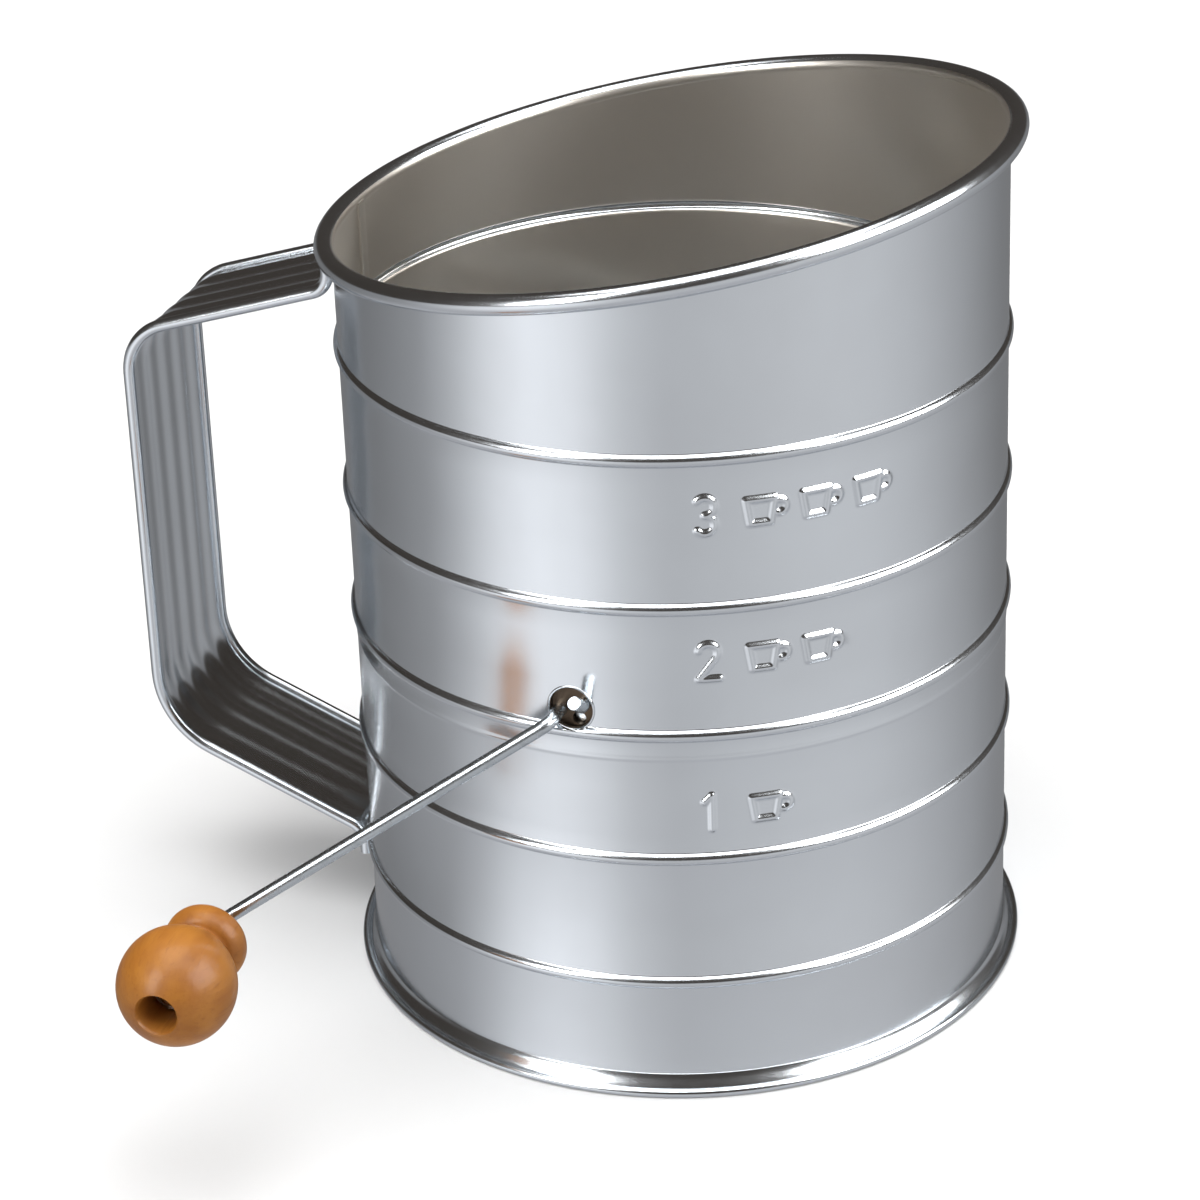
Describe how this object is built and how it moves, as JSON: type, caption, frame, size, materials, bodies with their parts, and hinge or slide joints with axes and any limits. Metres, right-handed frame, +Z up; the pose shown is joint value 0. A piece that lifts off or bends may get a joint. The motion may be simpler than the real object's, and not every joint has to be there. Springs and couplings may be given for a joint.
{
  "type": "flour sifter",
  "caption": "Hand-cranked flour sifter: ribbed tin cylinder with a slanted rolled rim, strap handle, dished screen, wire agitator, slanted crank arm and wooden ball knob.",
  "frame": {"origin": "centre of the foot ring, on the surface it stands on", "axes": "+Z up along the body's axis, +X towards the spout side where the rim is highest, handle at -X, crank comes out at -Y and its shaft lies along Y"},
  "size_m": [0.1537, 0.1684, 0.1511],
  "materials": {
    "tinplate": "satin tinplate",
    "screen": "woven wire",
    "bright_wire": "bright drawn steel wire",
    "hidden_wire": "plain steel wire inside a rolled edge",
    "ferrule": "dull tinned steel",
    "varnished_wood": "honey varnish"
  },
  "bodies": {
    "body": {"body_wall": "tinplate", "rim_wire": "hidden_wire", "foot_ring": "tinplate", "foot_wire": "hidden_wire", "screen_bowl": "screen", "screen_ring": "tinplate", "handle_strap": "tinplate", "handle_wire_front": "hidden_wire", "handle_wire_rear": "hidden_wire", "handle_welds": "tinplate"},
    "crank": {"crank_wire": "bright_wire", "agitator_wire_centre": "bright_wire", "agitator_wire_stop": "bright_wire", "agitator_wire_lower": "bright_wire", "front_ferrule": "ferrule", "rear_ferrule": "ferrule", "knob_washer": "ferrule"},
    "knob": {"knob": "varnished_wood"}
  },
  "joints": [
    {"name": "crank_spin", "type": "hinge", "parent": "body", "child": "crank", "pos_m": [0, 0, 0.0704], "axis": [0, -1, 0], "continuous": true},
    {"name": "knob_spin", "type": "hinge", "parent": "crank", "child": "knob", "pos_m": [-0.0506, -0.10009, 0.0374], "axis": [0.061, -0.9981, 0], "continuous": true}
  ]
}
